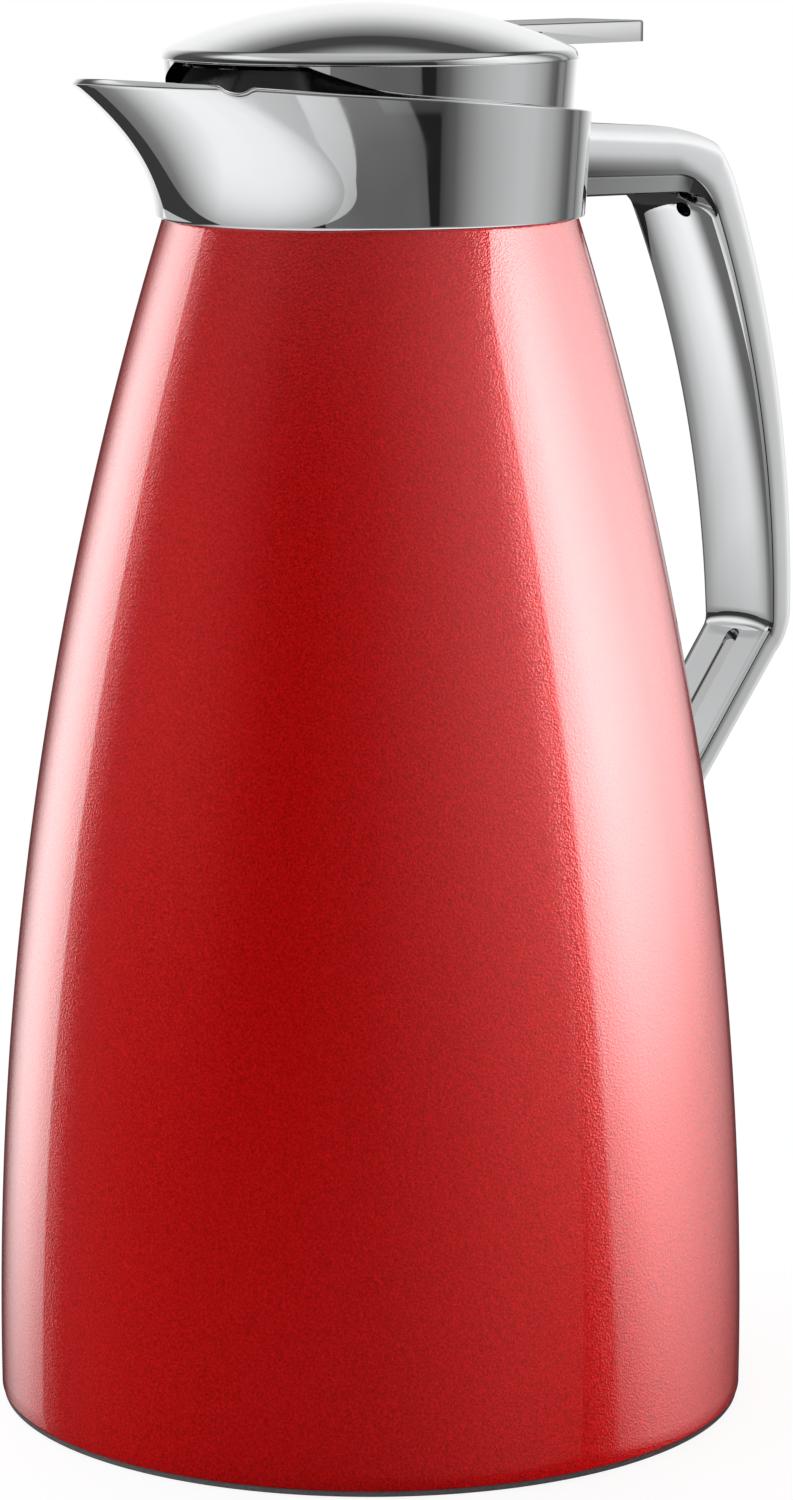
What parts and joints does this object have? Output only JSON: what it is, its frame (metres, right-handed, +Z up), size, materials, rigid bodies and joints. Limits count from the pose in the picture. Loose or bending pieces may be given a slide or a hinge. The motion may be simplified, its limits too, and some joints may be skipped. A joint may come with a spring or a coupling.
{
  "type": "vacuum jug",
  "caption": "Tapered vacuum jug with a lacquered casing, chromed spout collar, side handle, glass flask and a domed lid whose thumb lever lifts a pouring valve.",
  "frame": {"origin": "middle of the face that the jug stands on", "axes": "+Z up along the casing's axis, -X towards the spout, +X towards the handle"},
  "size_m": [0.1979, 0.1454, 0.2695],
  "materials": {
    "red_lacquer": "deep red metallic lacquer under a clear coat",
    "chrome": "polished chrome plate",
    "steel": "bright steel",
    "grey_plastic": "matt grey",
    "black_plastic": "matt black",
    "black_gloss": "glossy black",
    "black_rubber": "soft matt black",
    "grey_silicone": "translucent grey silicone",
    "silvered_glass": "silvered flask glass"
  },
  "bodies": {
    "jug": {"outer_casing": "red_lacquer", "base_ring": "grey_plastic", "base_plate": "black_plastic", "foot_pad": "black_rubber", "liner_cushion": "black_rubber", "liner_outer": "silvered_glass", "liner_inner": "silvered_glass", "neck_seal": "grey_silicone", "clamp_ring": "black_plastic", "collar": "chrome", "collar_insert": "black_plastic", "handle": "chrome", "handle_lug": "steel", "handle_screw": "steel", "handle_strip": "chrome", "lower_bracket": "steel"},
    "lid": {"lid_cap": "chrome", "lid_housing": "black_plastic", "lid_bridge": "black_gloss", "lid_gasket": "grey_silicone", "lid_screws": "steel", "pivot_pin": "steel", "valve_spring": "steel"},
    "lever": {"thumb_lever": "chrome", "lever_rocker": "black_plastic"},
    "valve": {"valve_stem": "steel", "valve_plug": "black_plastic", "valve_seal": "grey_silicone", "stem_nut": "steel"}
  },
  "joints": [
    {"name": "lid_lift", "type": "slide", "parent": "jug", "child": "lid", "axis": [0, 0, 1], "range_m": [0, 0.06]},
    {"name": "lever_press", "type": "hinge", "parent": "lid", "child": "lever", "pos_m": [0.024, 0, 0.2575], "axis": [0, 1, 0], "range_deg": [0, 8], "stiffness_Nm_per_rad": 1, "springref_deg": -8.59},
    {"name": "valve_lift", "type": "slide", "parent": "lid", "child": "valve", "axis": [0, 0, 1], "range_m": [0, 0.0034], "deforming": ["valve_spring"]}
  ],
  "couplings": [
    {"joint": "valve_lift", "follows": "lever_press", "m_per_rad": 0.024}
  ]
}
